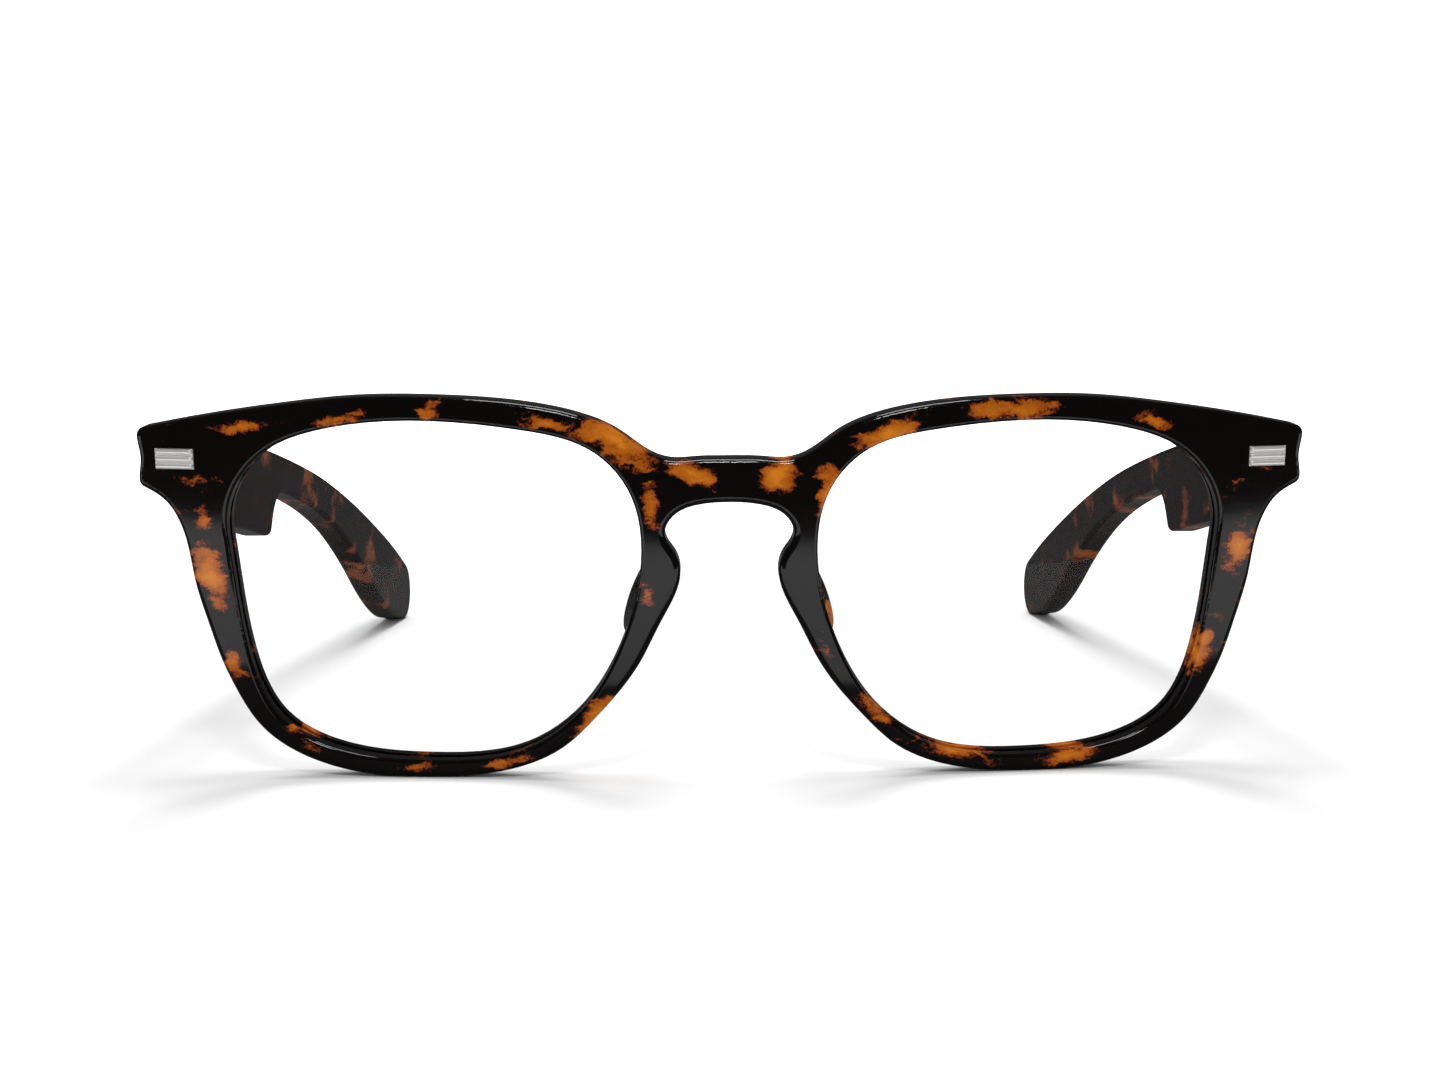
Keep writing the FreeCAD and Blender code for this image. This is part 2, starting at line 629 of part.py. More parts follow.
def build_front_leaf(build, frame):
    """Leaf in the front: a plate and three barrels."""
    members = [build.box("FrontPlate",
                         ("Sizes.front_leaf_reach - Sizes.front_leaf_width",
                          "-Sizes.butt_depth - Sizes.leaf_thickness + Sizes.leaf_proud",
                          "-" + STACK + " / 2"),
                         ("Sizes.front_leaf_width", "Sizes.leaf_thickness", STACK))]
    reach = "Sizes.butt_depth - Sizes.leaf_proud / 2"
    for level in (0, 2, 4):
        members += barrel(build, f"FrontBarrel{level}", level,
                          ("-Sizes.barrel_radius", "-" + reach.replace("- ", "+ ")),
                          ("Sizes.barrel_radius + Sizes.front_leaf_reach", reach))
    leaf = build.cut("FrontLeaf", build.fuse("FrontLeafBody", members), bore(build, "FrontBore"))
    build.pair(leaf, "hinge_front_leaf", frame)


def build_temple_leaf(build, frame):
    """Leaf in the temple: a plate with two rivet holes and two barrels."""
    members = [build.box("TemplePlate",
                         ("Sizes.temple_offset - Sizes.leaf_proud", "Sizes.temple_leaf_start",
                          "-" + STACK + " / 2"),
                         ("Sizes.leaf_thickness", "Sizes.temple_leaf_length", STACK))]
    for level in (1, 3):
        members += barrel(build, f"TempleBarrel{level}", level, ("0", "0"),
                          ("Sizes.temple_offset - Sizes.seat_gap",
                           "Sizes.temple_leaf_start + Sizes.leaf_thickness"))
    holes = [bore(build, "TempleBore")]
    sideways = Rotation(Vector(0, 1, 0), 90)
    for index, place in enumerate(RIVET_PLACES):
        holes.append(build.cylinder(f"TempleHole{index}", "Sizes.rivet_radius + Sizes.seat_gap",
                                    "4 * Sizes.leaf_thickness",
                                    ("Sizes.temple_offset - 2 * Sizes.leaf_thickness", place, "0"), sideways))
    leaf = build.cut("TempleLeaf", build.fuse("TempleLeafBody", members), build.fuse("TempleHoles", holes))
    build.pair(leaf, "hinge_temple_leaf", frame)


RIVET_PLACES = (
    "Sizes.temple_leaf_start + Sizes.temple_rivet_inset",
    "Sizes.temple_leaf_start + Sizes.temple_leaf_length - Sizes.temple_rivet_inset",
)


def build_temple_rivets(build, frame):
    """Two domed rivets that hold the temple leaf."""
    sideways = Rotation(Vector(0, 1, 0), 90)
    rivets = []
    for index, place in enumerate(RIVET_PLACES):
        face = "Sizes.temple_offset - Sizes.leaf_proud"
        shank = build.cylinder(f"RivetShank{index}", "Sizes.rivet_radius",
                               "Sizes.leaf_thickness + Sizes.temple_rivet_depth", (face, place, "0"), sideways)
        head = build.cylinder(f"RivetHead{index}", "Sizes.temple_rivet_head", "Sizes.temple_rivet_dome",
                              (face + " - Sizes.temple_rivet_dome", place, "0"), sideways)
        rivets.append(build.fuse(f"TempleRivet{index}", [shank, head]))
    build.pair(build.group("TempleRivets", rivets), "hinge_temple_rivets", frame)


def build_screw(build, frame):
    """Hinge screw with a slotted head on top of the barrels."""
    shank = build.cylinder("ScrewShank", "Sizes.shank_radius", STACK, ("0", "0", "-" + STACK + " / 2"))
    head = build.cylinder("ScrewHead", "Sizes.head_radius", "Sizes.head_height", ("0", "0", STACK + " / 2"))
    slot = build.box("ScrewSlot", ("-2 * Sizes.head_radius", "-Sizes.slot_width / 2",
                                   STACK + " / 2 + Sizes.head_height - Sizes.slot_depth"),
                     ("4 * Sizes.head_radius", "Sizes.slot_width", "Sizes.head_height"))
    screw = build.cut("Screw", build.fuse("ScrewBody", [shank, head]), slot)
    build.pair(screw, "hinge_screw", frame)


def build_plaque(build, frame):
    """Plaque with three raised bars, and its two rivets into the front."""
    plate = build.box("PlaquePlate", ("-Sizes.plaque_width / 2", "-Sizes.plaque_proud",
                                      "-Sizes.plaque_height / 2"),
                      ("Sizes.plaque_width", "Sizes.plaque_plate", "Sizes.plaque_height"))
    members = [plate]
    sideways = Rotation(Vector(0, 1, 0), 90)
    for index in (-1, 0, 1):
        level = f"{index} * (Sizes.plaque_height / 2 - Sizes.plaque_bar)"
        bar = build.cylinder(f"PlaqueBar{index + 1}", "Sizes.plaque_bar",
                             "Sizes.plaque_width - 2 * Sizes.plaque_bar",
                             ("-Sizes.plaque_width / 2 + Sizes.plaque_bar", "-Sizes.plaque_proud", level),
                             sideways)
        members.append(bar)
        for end, sign in (("A", "-"), ("B", "")):
            ball = build.bind("Part::Sphere", f"PlaqueEnd{index + 1}{end}", Radius="Sizes.plaque_bar",
                              Placement_Base_x=f"{sign}(Sizes.plaque_width / 2 - Sizes.plaque_bar)",
                              Placement_Base_y="-Sizes.plaque_proud", Placement_Base_z=level)
            members.append(ball)
    build.pair(build.fuse("Plaque", members), "plaque", frame)
    inward = Rotation(Vector(1, 0, 0), -90)
    rivets = []
    for index, sign in enumerate(("-", "")):
        rivets.append(build.cylinder(f"PlaqueRivet{index}", "Sizes.rivet_radius", "Sizes.rivet_length",
                                     (sign + "Sizes.rivet_spacing / 2",
                                      "Sizes.plaque_plate - Sizes.plaque_proud", "0"), inward))
    build.pair(build.group("PlaqueRivets", rivets), "plaque_rivets", frame)


def front_solid(s, blank, frame, upright):
    """Acetate front cut from its blank, with grooves, plaque seats and hinge seats."""
    lug = hinge_block(s)
    base = blank.fuse([lug, mirrored(lug)])
    seat = front_leaf_seat(s)
    seat.Placement = upright.inverse().multiply(frame)
    groove = deep(Part.Face(opening_wire(s, s.tongue_depth + s.lens_gap)), s).common(
        lens_spheres(s, s.tongue_radius + s.tongue_thickness / 2 + s.lens_gap,
                     -s.tongue_thickness / 2 - s.lens_gap)).cut(
        lens_spheres(s, s.tongue_radius - s.tongue_thickness / 2 - s.lens_gap,
                     s.tongue_thickness / 2 + s.lens_gap))
    tools = [seat, groove, plaque_seat(s)]
    return base.cut(tools + [mirrored(tool) for tool in tools])


def build_all(doc, s):
    """Make every piece, set the glasses on the table and centre them over the origin."""
    build = Builder(doc)
    blank = rounded_front(s)
    leaned = blank.copy()
    leaned.Placement = lean(s)
    rise = -leaned.optimalBoundingBox().ZMin
    frame = hinge_frame(s, rise)
    upright = Placement(Vector(0, 0, rise), Rotation()).multiply(lean(s))
    front = front_solid(s, blank, frame, upright)
    temple = temple_blank(s).cut(temple_seats(s))
    ahead = front.copy()
    ahead.Placement = upright
    behind = temple.copy()
    behind.Placement = frame
    near = ahead.optimalBoundingBox().YMin
    far = behind.optimalBoundingBox().YMax
    centre = Placement(Vector(0, -(near + far) / 2, 0), Rotation())
    upright = centre.multiply(upright)
    frame = centre.multiply(frame)
    build.finish(build.shape("Front", front), "front_frame", upright)
    build.pair(build.shape("Lens", lens(s)), "lens", upright)
    build.pair(build.shape("NosePad", nose_pad(s)), "nose_pad", upright)
    build_plaque(build, upright.multiply(plaque_frame(s)))
    build_front_leaf(build, frame)
    build_temple_leaf(build, frame)
    build_temple_rivets(build, frame)
    build_screw(build, frame)
    build.pair(build.shape("Temple", temple), "temple", frame)
    build.pair(build.shape("CoreStrip", core_strip(s, 0.0)), "core_strip", frame)
    return build.pieces


def check(doc, pieces):
    """Stop when an object failed or a piece is empty or broken."""
    for made in doc.Objects:
        if "Invalid" in made.State or "Error" in made.State:
            raise RuntimeError(f"{made.Label} did not compute: {made.State}")
    for made in pieces:
        if made.Shape.isNull() or not made.Shape.isValid() or not made.Shape.Solids:
            raise RuntimeError(f"{made.Label} has no valid solid")


def main():
    """Fill the sheet, build the pieces and write one STEP file for each."""
    doc = FreeCAD.newDocument("ReadingGlasses")
    sheet = doc.addObject("Spreadsheet::Sheet", "Sizes")
    for row, (alias, value, note) in enumerate(SIZES, start=1):
        sheet.set(f"A{row}", note)
        sheet.set(f"B{row}", str(value))
        sheet.setAlias(f"B{row}", alias)
    doc.recompute()
    pieces = build_all(doc, Sizes(sheet))
    doc.recompute()
    check(doc, pieces)
    os.makedirs(PARTS_FOLDER, exist_ok=True)
    for made in pieces:
        made.Shape.exportStep(os.path.join(PARTS_FOLDER, made.Label + ".step"))
        box = made.Shape.BoundBox
        print(made.Label, len(made.Shape.Solids), f"{made.Shape.Volume:.2f}",
              f"{box.XMin:.2f} {box.XMax:.2f} {box.YMin:.2f} {box.YMax:.2f} {box.ZMin:.2f} {box.ZMax:.2f}")


main()
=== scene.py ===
"""Looks for the folding reading glasses: materials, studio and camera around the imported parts."""

import logging
import math
from dataclasses import dataclass, field
from enum import Enum
from typing import Any, Sequence

import bpy
from mathutils import Matrix, Vector


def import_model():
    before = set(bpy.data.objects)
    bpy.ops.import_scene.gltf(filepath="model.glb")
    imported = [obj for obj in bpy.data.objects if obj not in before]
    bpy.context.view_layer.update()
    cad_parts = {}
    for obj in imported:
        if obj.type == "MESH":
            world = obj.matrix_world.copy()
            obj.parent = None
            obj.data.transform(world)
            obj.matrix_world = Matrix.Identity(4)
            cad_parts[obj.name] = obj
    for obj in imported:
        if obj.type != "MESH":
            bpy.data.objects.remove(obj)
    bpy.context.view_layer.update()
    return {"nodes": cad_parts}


LOG = logging.getLogger("glasses")
MM_PER_M = 1000.0
BLACK = (0.0, 0.0, 0.0)
WHITE = (1.0, 1.0, 1.0)
TABLE_WHITE = (0.90, 0.90, 0.90)
TABLE_DARK = (0.10, 0.10, 0.10)
TABLE_ROUGHNESS = 0.55
TABLE_SHEEN = 0.1
HALF = (0.5, 0.5, 0.5)
SENSOR_MM = 36.0
NEAREST = 0.01
Colour = tuple[float, float, float]
Place = tuple[float, float, float]


class Side(Enum):
    """The two halves of the glasses."""

    LEFT = "left"
    RIGHT = "right"


# ---------------------------------------------------------------- node building

class Graph:
    """Adds nodes to a tree and links them.

    Attributes:
        tree: the tree of a material, world or node group.
    """

    def __init__(self, tree: bpy.types.NodeTree) -> None:
        """Wrap a node tree.

        Args:
            tree: the tree of a material, world or node group.
        """
        self.tree = tree

    def node(self, kind: str, inputs: dict[Any, Any] | None = None, **settings: Any) -> bpy.types.Node:
        """Add one node.

        Args:
            kind: the node's type name.
            inputs: values or sockets for its inputs, by name or index.
            **settings: attributes set on the node.

        Returns:
            The new node.
        """
        made = self.tree.nodes.new(kind)
        for key, value in settings.items():
            setattr(made, key, value)
        for key, value in (inputs or {}).items():
            if isinstance(value, bpy.types.NodeSocket):
                self.tree.links.new(value, made.inputs[key])
            else:
                made.inputs[key].default_value = value
        return made

    def math(self, operation: str, first: Any, second: Any = 0.0, third: Any = 0.0) -> bpy.types.NodeSocket:
        """Calculate with numbers.

        Args:
            operation: the Math node's operation.
            first: first value or socket.
            second: second value or socket.
            third: third value or socket.

        Returns:
            The result's socket.
        """
        made = self.node("ShaderNodeMath", {0: first, 1: second, 2: third}, operation=operation)
        return made.outputs[0]

    def vector(self, operation: str, first: Any, second: Any = (0, 0, 0)) -> bpy.types.Node:
        """Calculate with vectors.

        Args:
            operation: the Vector Math node's operation.
            first: first vector or socket.
            second: second vector or socket.

        Returns:
            The new node.
        """
        return self.node("ShaderNodeVectorMath", {0: first, 1: second}, operation=operation)

    def metric(self) -> bpy.types.NodeSocket:
        """Place on the object in millimetres.

        Returns:
            The place's socket.
        """
        place = self.node("ShaderNodeTexCoord").outputs["Object"]
        return self.vector("MULTIPLY", place, (MM_PER_M,) * 3).outputs[0]

    def noise(self, place: Any, scale: Any, detail: float, roughness: float = 0.5) -> bpy.types.Node:
        """Noise over a place.

        Args:
            place: socket with the place.
            scale: features per unit of length, or a socket.
            detail: levels of finer detail.
            roughness: strength of the finer detail.

        Returns:
            The noise node.
        """
        return self.node("ShaderNodeTexNoise", {"Vector": place, "Scale": scale, "Detail": detail,
                                                "Roughness": roughness})

    def ramp(self, value: Any, stops: Sequence[tuple[float, Colour]]) -> bpy.types.NodeSocket:
        """Turn a value into a colour.

        Args:
            value: socket with the value.
            stops: place and linear colour of each stop.

        Returns:
            The colour's socket.
        """
        made = self.node("ShaderNodeValToRGB", {"Fac": value})
        band = made.color_ramp
        while len(band.elements) < len(stops):
            band.elements.new(1.0)
        for element, (place, colour) in zip(band.elements, stops):
            element.position = place
            element.color = (*colour, 1.0)
        return made.outputs["Color"]

    def mix(self, factor: Any, first: Any, second: Any) -> bpy.types.NodeSocket:
        """Mix two colours.

        Args:
            factor: how much of the second colour.
            first: first colour or socket.
            second: second colour or socket.

        Returns:
            The colour's socket.
        """
        made = self.tree.nodes.new("ShaderNodeMix")
        made.data_type = "RGBA"
        for key, value in ((0, factor), (6, first), (7, second)):
            if isinstance(value, bpy.types.NodeSocket):
                self.tree.links.new(value, made.inputs[key])
            else:
                made.inputs[key].default_value = (*value, 1.0) if isinstance(value, tuple) else value
        return made.outputs[2]


PATCH_FALL = 0.75  # part of a patch's glow that is lost from its middle to its edge
PATCH_DEPTH = 1e5  # half depth of a patch in millimetres, so it runs right through


@dataclass(frozen=True)
class Patch:
    """One amber patch in the acetate, an oval column along Y. Lengths in millimetres.

    Attributes:
        x: place across the front.
        z: height.
        wide: half width.
        high: half height.
        tilt: turn of the oval in degrees, its right end upward.
        glow: how light its middle is, 1 for full honey.
    """

    x: float
    z: float
    wide: float
    high: float
    tilt: float = 0.0
    glow: float = 1.0


@dataclass(frozen=True)
class TortoiseFinish:
    """Polished black and amber acetate.

    Attributes:
        name: the material's name.
        dark: colour of the black parts.
        rust: colour at the edge of a patch.
        amber: colour inside a patch.
        honey: lightest colour of a patch.
        cloud_scale: patches per millimetre of the random clouding.
        cloud_gain: how much the random clouding shows.
        warp: how far the patches' edges wander, in millimetres.
        roughness: roughness of the polish.
        unevenness: how much the roughness follows the grain.
        gloss: strength of the reflections, 0.5 for plain acetate.
        index: refractive index, which sets how fast reflections grow at low angles.
        patches: amber patches that are placed one by one.
    """

    name: str = "tortoise"
    dark: Colour = (0.0016, 0.0010, 0.0008)
    rust: Colour = (0.10, 0.014, 0.003)
    amber: Colour = (0.34, 0.075, 0.004)
    honey: Colour = (0.62, 0.190, 0.010)
    cloud_scale: float = 0.07
    cloud_gain: float = 0.6
    warp: float = 4.0
    roughness: float = 0.09
    unevenness: float = 0.06
    gloss: float = 0.4
    index: float = 1.5
    patches: tuple[Patch, ...] = ()

    def patch_mask(self, graph: Graph, place: Any) -> Any:
        """Value that is 1 in the middle of a patch and 0 outside.

        Args:
            graph: graph of the material.
            place: socket with the warped place in millimetres.

        Returns:
            Socket with the value, or a plain 0.
        """
        total: Any = 0.0
        for patch in self.patches:
            shifted = graph.node("ShaderNodeMapping", {
                "Vector": place, "Location": (patch.x, 0, patch.z),
                "Rotation": (0, -math.radians(patch.tilt), 0),
                "Scale": (patch.wide, PATCH_DEPTH, patch.high)}, vector_type="TEXTURE")
            length = graph.vector("LENGTH", shifted.outputs[0]).outputs["Value"]
            value = graph.math("MULTIPLY_ADD", length, -PATCH_FALL * patch.glow, patch.glow)
            total = graph.math("MAXIMUM", total, value)
        return total

    def make(self, cloud: bpy.types.NodeTree) -> bpy.types.Material:
        """Make the material.

        Args:
            cloud: the shared clouding group.

        Returns:
            The material.
        """
        material, graph, shader = principled(self.name)
        group = graph.node("ShaderNodeGroup", {}, node_tree=cloud)
        group.inputs["Scale"].default_value = self.cloud_scale
        group.inputs["Warp"].default_value = self.warp
        centred = graph.vector("SUBTRACT", group.outputs["Drift"], HALF).outputs[0]
        bend = graph.vector("MULTIPLY", centred, (self.warp,) * 3).outputs[0]
        mask = self.patch_mask(graph, graph.vector("ADD", graph.metric(), bend).outputs[0])
        clouds = graph.math("MULTIPLY", group.outputs["Cloud"], self.cloud_gain)
        level = graph.math("MAXIMUM", mask, clouds)
        level = graph.math("ADD", level, group.outputs["Grain"])
        stops = ((0.0, self.dark), (0.33, self.dark), (0.40, self.rust),
                 (0.50, self.amber), (0.95, self.honey))
        colour = graph.ramp(level, stops)
        graph.tree.links.new(colour, shader.inputs["Base Color"])
        rough = graph.math("MULTIPLY_ADD", group.outputs["Grain"], self.unevenness, self.roughness)
        graph.tree.links.new(rough, shader.inputs["Roughness"])
        shader.inputs["IOR"].default_value = self.index
        shader.inputs["Specular IOR Level"].default_value = self.gloss
        return material


@dataclass(frozen=True)
class MetalFinish:
    """Bare metal with a fine uneven polish.

    Attributes:
        name: the material's name.
        colour: colour of the metal.
        roughness: roughness of the clean metal.
        unevenness: how much the roughness varies.
        metallic: 1 for bare metal; less mixes in a whitish diffuse layer, a painted sheen that stands in
            for bright reflections.
        smear_scale: smears per metre.
        shade: brightness of the darker smears.
    """

    name: str
    colour: Colour = (0.95, 0.93, 0.89)
    roughness: float = 0.12
    unevenness: float = 0.08
    metallic: float = 1.0
    smear_scale: float = 900.0
    shade: float = 0.86

    def make(self) -> bpy.types.Material:
        """Make the material.

        Returns:
            The material.
        """
        material, graph, shader = principled(self.name)
        place = graph.node("ShaderNodeTexCoord").outputs["Object"]
        smear = graph.noise(place, self.smear_scale, 3.0)
        rough = graph.math("MULTIPLY_ADD", smear.outputs["Fac"], self.unevenness, self.roughness)
        graph.tree.links.new(rough, shader.inputs["Roughness"])
        colour = graph.mix(smear.outputs["Fac"], self.colour, tuple(c * self.shade for c in self.colour))
        graph.tree.links.new(colour, shader.inputs["Base Color"])
        shader.inputs["Metallic"].default_value = self.metallic
        return material


@dataclass(frozen=True)
class LensFinish:
    """Clear coated lens.

    Attributes:
        name: the material's name.
        tint: colour of the light that passes.
        index: refractive index, well under a real lens's, so that the view behind stays in place.
        coat: strength of the clear coat, which adds a faint reflection.
    """

    name: str = "lens"
    tint: Colour = (0.985, 0.99, 0.99)
    index: float = 1.01
    coat: float = 0.2

    def make(self) -> bpy.types.Material:
        """Make the material.

        Returns:
            The material, which lets shadow, diffuse and mirror rays straight through.
        """
        material, graph, shader = principled(self.name)
        shader.inputs["Base Color"].default_value = (*self.tint, 1.0)
        shader.inputs["Roughness"].default_value = 0.0
        shader.inputs["IOR"].default_value = self.index
        shader.inputs["Transmission Weight"].default_value = 1.0
        shader.inputs["Coat Weight"].default_value = self.coat
        shader.inputs["Coat Roughness"].default_value = 0.0
        path = graph.node("ShaderNodeLightPath")
        clear = graph.node("ShaderNodeBsdfTransparent")
        through = graph.math("MAXIMUM", path.outputs["Is Shadow Ray"], path.outputs["Is Diffuse Ray"])
        through = graph.math("MAXIMUM", through, path.outputs["Is Glossy Ray"])
        both = graph.node("ShaderNodeMixShader", {0: through, 1: shader.outputs[0], 2: clear.outputs[0]})
        output = next(n for n in graph.tree.nodes if n.type == "OUTPUT_MATERIAL")
        graph.tree.links.new(both.outputs[0], output.inputs["Surface"])
        return material


def principled(name: str) -> tuple[bpy.types.Material, Graph, bpy.types.Node]:
    """Start a material with one Principled shader.

    Args:
        name: the material's name.

    Returns:
        The material, its graph and the shader node.
    """
    material = bpy.data.materials.new(name)
    material.use_nodes = True
    graph = Graph(material.node_tree)
    shader = next(n for n in material.node_tree.nodes if n.type == "BSDF_PRINCIPLED")
    return material, graph, shader


@dataclass(frozen=True)
class Cloud:
    """Shared clouding of the acetate. Scales are features per millimetre.

    Attributes:
        drift_scale: scale of the drift that bends edges.
        ragged_scale: scale of the ragged edges.
        ragged_gain: strength of the ragged edges.
        speck_scale: scale of the fine speckle.
        speck_gain: strength of the fine speckle.
        streak_turn: turn of the streaks in degrees.
        streak_stretch: squeeze of the streaks along each axis.
        floor: noise value where clouds start.
        full: noise value where clouds are full.
        offset: lowers the ragged edges, so that they eat into a patch.
    """

    drift_scale: float = 0.22
    ragged_scale: float = 0.36
    ragged_gain: float = 1.5
    speck_scale: float = 3.4
    speck_gain: float = 0.34
    streak_turn: float = 35.0
    streak_stretch: Place = (0.55, 1.0, 1.5)
    floor: float = 0.46
    full: float = 0.68
    offset: float = -0.80

    def sockets(self, group: bpy.types.NodeTree) -> None:
        """Add the group's sockets.

        Args:
            group: the node group.
        """
        for label, default in (("Scale", 0.07), ("Warp", 4.0)):
            made = group.interface.new_socket(label, in_out="INPUT", socket_type="NodeSocketFloat")
            made.default_value = default
        for label, kind in (("Drift", "Color"), ("Cloud", "Float"), ("Grain", "Float")):
            group.interface.new_socket(label, in_out="OUTPUT", socket_type=f"NodeSocket{kind}")

    def grain(self, graph: Graph, metric: Any, warped: Any) -> bpy.types.NodeSocket:
        """Ragged streaks with a fine speckle.

        Args:
            graph: graph of the group.
            metric: socket with the place in millimetres.
            warped: socket with the warped place in millimetres.

        Returns:
            The grain's socket, a little below 0 on average.
        """
        turn = (0.0, math.radians(self.streak_turn), 0.0)
        streaked = graph.node("ShaderNodeMapping", {"Vector": warped, "Rotation": turn,
                                                    "Scale": self.streak_stretch}, vector_type="POINT")
        ragged = graph.noise(streaked.outputs[0], self.ragged_scale, 4.0, 0.58)
        speck = graph.noise(metric, self.speck_scale, 2.0, 0.7)
        coarse = graph.math("MULTIPLY_ADD", ragged.outputs["Fac"], self.ragged_gain, self.offset)
        fine = graph.math("MULTIPLY_ADD", speck.outputs["Fac"], self.speck_gain, -self.speck_gain / 2)
        return graph.math("ADD", coarse, fine)

    def make(self) -> bpy.types.NodeTree:
        """Make the group.

        Returns:
            Group with a drift colour for bending edges, a cloud value and a fine grain.
        """
        group = bpy.data.node_groups.new("acetate_cloud", "ShaderNodeTree")
        self.sockets(group)
        graph = Graph(group)
        inside = graph.node("NodeGroupInput")
        out = graph.node("NodeGroupOutput")
        metric = graph.metric()
        drift = graph.noise(metric, self.drift_scale, 5.0, 0.68).outputs["Color"]
        centred = graph.vector("SUBTRACT", drift, HALF).outputs[0]
        scaled = graph.node("ShaderNodeVectorMath", {0: centred, "Scale": inside.outputs["Warp"]},
                            operation="SCALE")
        warped = graph.vector("ADD", metric, scaled.outputs[0]).outputs[0]
        cloud = graph.noise(warped, inside.outputs["Scale"], 2.0, 0.45)
        shaped = graph.node("ShaderNodeMapRange", {"Value": cloud.outputs["Fac"], "From Min": self.floor,
                                                   "From Max": self.full})
        graph.tree.links.new(drift, out.inputs["Drift"])
        graph.tree.links.new(shaped.outputs[0], out.inputs["Cloud"])
        graph.tree.links.new(self.grain(graph, metric, warped), out.inputs["Grain"])
        return group


# clockwise from the left end piece, as seen by someone who faces the glasses
FRONT_PATCHES = (
    Patch(-58.0, 43.0, 4.4, 1.2, 6, 0.9), Patch(-46, 44.2, 4.6, 1.3, 12, 0.6),
    Patch(-35, 45.0, 2.6, 1.4, 30, 0.66), Patch(-21.5, 44.2, 4.4, 1.5, -14, 0.85),
    Patch(-12.8, 41.0, 6.2, 2.5, -32, 1.0), Patch(-9.4, 33.5, 1.7, 4.2, 4, 0.66),
    Patch(-10.0, 23.0, 1.6, 3.0, 8, 0.45), Patch(-4.6, 37.8, 3.8, 1.9, -24, 0.95),
    Patch(5.8, 37.6, 3.6, 2.4, 24, 1.0), Patch(12.2, 34.0, 2.0, 6.5, 6, 0.8),
    Patch(19.0, 42.4, 5.6, 1.8, 24, 0.95), Patch(34.0, 45.2, 7.5, 1.4, 0, 0.95),
    Patch(51.5, 43.6, 4.2, 1.1, -8, 0.8), Patch(63.2, 28.0, 2.6, 4.4, -14, 0.85),
    Patch(59.0, 15.5, 1.9, 4.4, -22, 0.8), Patch(42.5, 2.0, 5.0, 1.5, 4, 0.85),
    Patch(28.5, 2.8, 6.5, 1.6, -10, 0.85), Patch(18.0, 8.0, 4.2, 1.8, -38, 0.8),
    Patch(11.5, 16.0, 1.6, 4.2, 24, 0.6), Patch(-16.6, 7.8, 4.2, 2.0, 42, 0.9),
    Patch(-27.5, 2.2, 4.4, 1.4, 14, 0.6), Patch(-39.0, 1.4, 4.5, 1.2, 0, 0.56),
    Patch(-52.0, 5.0, 3.4, 1.3, -30, 0.56), Patch(-60.4, 14.0, 1.7, 3.6, 22, 0.72),
    Patch(-63.2, 32.0, 1.4, 3.0, 8, 0.7), Patch(-62.8, 25.0, 2.5, 4.8, 12, 0.95),
)


# ---------------------------------------------------------------- sub-assemblies

@dataclass
class SubAssembly:
    """A sub-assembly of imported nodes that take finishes.

    Attributes:
        nodes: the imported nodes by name.
    """

    nodes: dict[str, bpy.types.Object]

    def paint(self, name: str, material: bpy.types.Material) -> None:
        """Give a node its material.

        Args:
            name: the node's name.
            material: the new material.
        """
        piece = self.nodes[name]
        for entry in piece.material_slots:
            entry.material = material
        LOG.info("painted %s with %s", name, material.name)


@dataclass
class Front(SubAssembly):
    """The acetate front with its lenses, pads and plaques.

    Attributes:
        acetate: finish of the front frame.
        pad: finish of the nose pads.
        lens: finish of the lenses.
        plaque: finish of the plaques and their rivets.
    """

    acetate: TortoiseFinish = field(default_factory=lambda: TortoiseFinish(
        name="front_acetate", cloud_gain=0.28, warp=3.2, patches=FRONT_PATCHES))
    pad: TortoiseFinish = field(default_factory=lambda: TortoiseFinish(
        name="pad_tortoise", cloud_scale=0.12, cloud_gain=0.7, warp=3.0))
    lens: LensFinish = field(default_factory=LensFinish)
    # metallic under 1 gives the plaques a painted whitish sheen, a diffuse white layer in place of bright
    # reflections
    plaque: MetalFinish = field(default_factory=lambda: MetalFinish(
        name="plaque_metal", colour=(0.98, 0.97, 0.94), roughness=0.32, metallic=0.7))

    def build(self, cloud: bpy.types.NodeTree) -> None:
        """Paint the front's nodes.

        Args:
            cloud: the shared clouding group.
        """
        self.paint("front_frame", self.acetate.make(cloud))
        pad = self.pad.make(cloud)
        lens = self.lens.make()
        plaque = self.plaque.make()
        for side in Side:
            self.paint(f"nose_pad_{side.value}", pad)
            self.paint(f"lens_{side.value}", lens)
            self.paint(f"plaque_{side.value}", plaque)
            self.paint(f"plaque_rivets_{side.value}", plaque)


@dataclass
class Temples(SubAssembly):
    """Both temples with their core strips.

    Attributes:
        acetate: finish of the temples.
        core: finish of the core strips.
    """

    acetate: TortoiseFinish = field(default_factory=lambda: TortoiseFinish(
        name="temple_acetate", dark=(0.008, 0.0055, 0.005), rust=(0.040, 0.010, 0.006),
        amber=(0.085, 0.022, 0.009), honey=(0.20, 0.060, 0.015), cloud_scale=0.12, cloud_gain=0.75,
        warp=3.0, roughness=0.2, gloss=0.5, index=1.2))
    core: MetalFinish = field(default_factory=lambda: MetalFinish(name="core_metal", roughness=0.3))

    def build(self, cloud: bpy.types.NodeTree) -> None:
        """Paint the temples' nodes.

        Args:
            cloud: the shared clouding group.
        """
        acetate = self.acetate.make(cloud)
        core = self.core.make()
        for side in Side:
            self.paint(f"temple_{side.value}", acetate)
            self.paint(f"core_strip_{side.value}", core)


